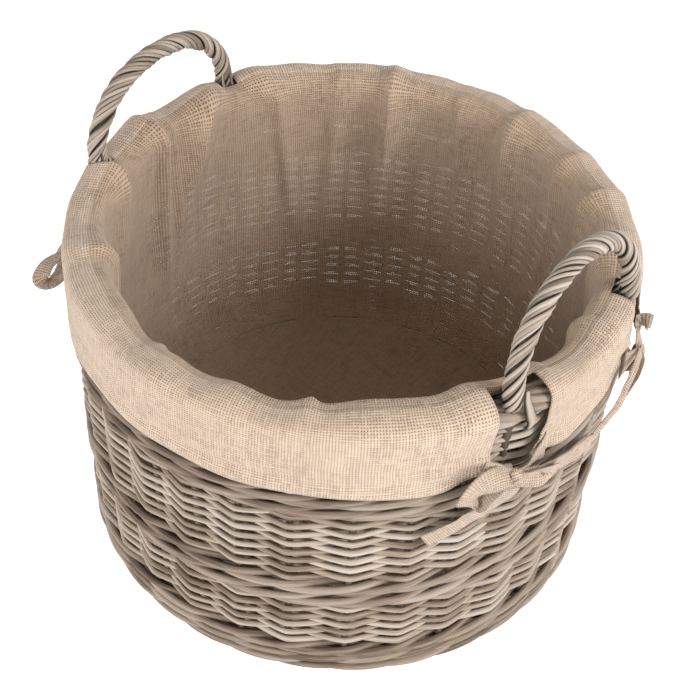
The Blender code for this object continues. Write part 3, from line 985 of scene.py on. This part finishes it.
def tape(rods, foot, towards_cuff, stations, draw, share=1.0):
    """Flat tape through its stations, rolled to a share of its width. Gives its area / TAPE_WIDTH."""
    points = []
    for degrees_off, out_mm, up_mm, roll in stations:
        angle = foot + towards_cuff * radians(degrees_off)
        place_at = polar(CUFF_RADIUS + out_mm / 1000, angle, CUFF_HEM + up_mm / 1000)
        level, lift = cos(radians(roll)), sin(radians(roll))
        face = np.array([cos(angle) * level, sin(angle) * level, lift])
        points.append(np.concatenate([place_at, face * 0.004]))
    path = curve_through(points, 0.0018)
    count = len(path)
    crumple = 0.0007 * smooth_noise(count, 5, int(draw.integers(1, 9999)))
    face = unit(path[:, 3:])
    share = np.linspace(share[0], share[-1], count) if isinstance(share, tuple) else np.full(count, share)
    width = share * TAPE_WIDTH / 2 * (1 + 0.10 * smooth_noise(count, 7, int(draw.integers(1, 9999))))
    rods.add(path[:, :3] + crumple[:, None] * face, width, 0.5, sides=12, up=face,
             flat=TAPE_THICKNESS / TAPE_WIDTH / float(share.mean()), start=draw.uniform(0, 1))
    return float(share.mean() * np.linalg.norm(np.diff(path[:, :3], axis=0), axis=1).sum())


def knot(rods, foot, towards_cuff, draw):
    """The tape's turn round the middle of the bow."""
    angle = foot + towards_cuff * radians(0.3)
    middle = polar(CUFF_RADIUS + 0.0082, angle, CUFF_HEM + 0.0075)
    radial = np.array([cos(angle), sin(angle), 0.0])
    turn = tau * np.arange(20) / 20
    away = np.cos(turn)[:, None] * radial + np.sin(turn)[:, None] * np.array([0, 0, 1.0])
    size = np.array([0.0046 * np.cos(turn), 0.0072 * np.sin(turn)])
    path = middle + size[0][:, None] * radial + size[1][:, None] * np.array([0, 0, 1.0])
    rods.add(path, 0.0056, 0.5, sides=12, closed=True, up=away, flat=0.24, start=draw.uniform(0, 1))
    return tau * 0.006


def ties():
    front_right, rear_right, rear_left, front_left = FEET
    plain = ((LOOP_BY_THE_CUFF, 1.0), (TAIL_BY_THE_CUFF, 1.0), (LOOP_BY_THE_FLAP, 0.8),
             (TAIL_BY_THE_FLAP, 0.9))
    flicked = ((LOOP_BY_THE_FLAP, 0.6), (TAIL_BY_THE_CUFF, 0.9), (LONG_TAIL, 0.36), (FLICK, (0.5, 1.0)))
    for name, foot, towards_cuff, tapes, node in (
        ("bow_front_right", front_right, -1, plain, "tie_front_right"),
        ("bow_rear_right", rear_right, 1, flicked, "tie_rear_right"),
        ("bow_rear_left", rear_left, -1, plain, "tie_rear_left"),
        ("bow_front_left", front_left, 1, ((LOOP_STANDING_OUT, 0.92), *plain[1:]), "tie_front_left"),
    ):
        draw = np.random.default_rng(len(name) * 31 + len(tapes[0][0]))
        rods = Rods()
        length = 0.6 * knot(rods, foot, towards_cuff, draw)
        for stations, share in ((CORNER_TAPES[0], (1.1, 0.6)), (CORNER_TAPES[1], (1.7, 0.6)), *tapes):
            length += tape(rods, foot, towards_cuff, stations, draw, share)
        bow = rods.make(name, HESSIAN_TIE, BODY_LINER)
        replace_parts(bow, node)


# ---------------------------------------------------------------- camera, light and stage

FOCAL = 72.05
CAMERA_DISTANCE = 1.3111
CAMERA_ELEVATION = radians(44.48)
CAMERA_AZIMUTH = radians(-53.6)  # of the camera, seen from the basket
CAMERA_ROLL = radians(-3.65)
AIM_SIDEWAYS, AIM_UP = 0.0034, 0.0031

HORIZON, ZENITH = (1.0, 1.0, 1.0), (0.170, 0.165, 0.158)
SKY_STRENGTH = 1.68
GROUND_GLOW = 1.24  # makes the ground pure white
LAMP_COLOUR = (1.0, 0.99, 0.97)
LAMP_AIM = (0, 0, 0.2)


def camera():
    data = bpy.data.cameras.new("camera")
    data.lens = FOCAL
    data.sensor_width = 36.0
    obj = bpy.data.objects.new("camera", data)
    link(obj)
    target = Vector((0, 0, RIM_TOP / 2))
    back = Vector((cos(CAMERA_ELEVATION) * cos(CAMERA_AZIMUTH), cos(CAMERA_ELEVATION) * sin(CAMERA_AZIMUTH),
                   sin(CAMERA_ELEVATION)))
    right = Vector((-sin(CAMERA_AZIMUTH), cos(CAMERA_AZIMUTH), 0))
    up = back.cross(right)
    c, s = cos(CAMERA_ROLL), sin(CAMERA_ROLL)
    rolled_right, rolled_up = right * c - up * s, right * s + up * c
    place_at = target + back * CAMERA_DISTANCE + rolled_right * AIM_SIDEWAYS + rolled_up * AIM_UP
    turn = Matrix((rolled_right, rolled_up, back)).transposed()
    obj.matrix_world = Matrix.Translation(place_at) @ turn.to_4x4()
    bpy.context.scene.camera = obj


def area_light(name, place_at, size, power):
    data = bpy.data.lights.new(name, "AREA")
    data.shape = "DISK"
    data.size = size
    data.energy = power
    data.color = LAMP_COLOUR
    obj = bpy.data.objects.new(name, data)
    link(obj)
    obj.location = place_at
    obj.rotation_euler = (Vector(LAMP_AIM) - Vector(place_at)).to_track_quat("-Z", "Y").to_euler()


def sky():
    """White at the horizon and dim overhead, and dim from lower down on the camera's left."""
    world = bpy.data.worlds.new("studio")
    world.use_nodes = True
    n = Nodes(world.node_tree)
    direction = n.new("ShaderNodeTexCoord").outputs["Generated"]
    up = n.new("ShaderNodeSeparateXYZ", {0: direction}).outputs["Z"]
    left = (sin(CAMERA_AZIMUTH), -cos(CAMERA_AZIMUTH), 0.0)
    inputs = {0: direction, 1: left}
    leftward = n.new("ShaderNodeVectorMath", inputs, operation="DOT_PRODUCT").outputs["Value"]
    height = n.times(up, n.plus(n.times(n.math("MAXIMUM", leftward, 0.0), 1.5), 1.0))
    background = n.tree.nodes["Background"]
    n.put(background.inputs["Color"], n.ramp(height, ((0.15, HORIZON), (0.85, ZENITH))))
    n.put(background.inputs["Strength"], SKY_STRENGTH)
    bpy.context.scene.world = world


def stage():
    sky()
    bpy.context.scene.view_settings.view_transform = "Standard"
    mesh = bpy.data.meshes.new("ground")
    mesh.from_pydata([(-6, -6, 0), (6, -6, 0), (6, 6, 0), (-6, 6, 0)], [], [(0, 1, 2, 3)])
    ground = bpy.data.objects.new("ground", mesh)
    link(ground)
    paint = Material("ground")
    paint.set("Base Color", (0.0, 0.0, 0.0, 1.0))
    paint.set("Specular IOR Level", 0.0)
    paint.set("Roughness", 0.9)
    paint.set("Emission Color", (1.0, 1.0, 1.0, 1.0))
    paint.set("Emission Strength", GROUND_GLOW)
    mesh.materials.append(paint.material)
    area_light("key", (-0.1, -2.4, 1.00), 1.6, 29)
    area_light("side", (2.1, 0.45, 1.6), 1.0, 35)


camera()
wall()
handles()
liner()
ties()
stage()
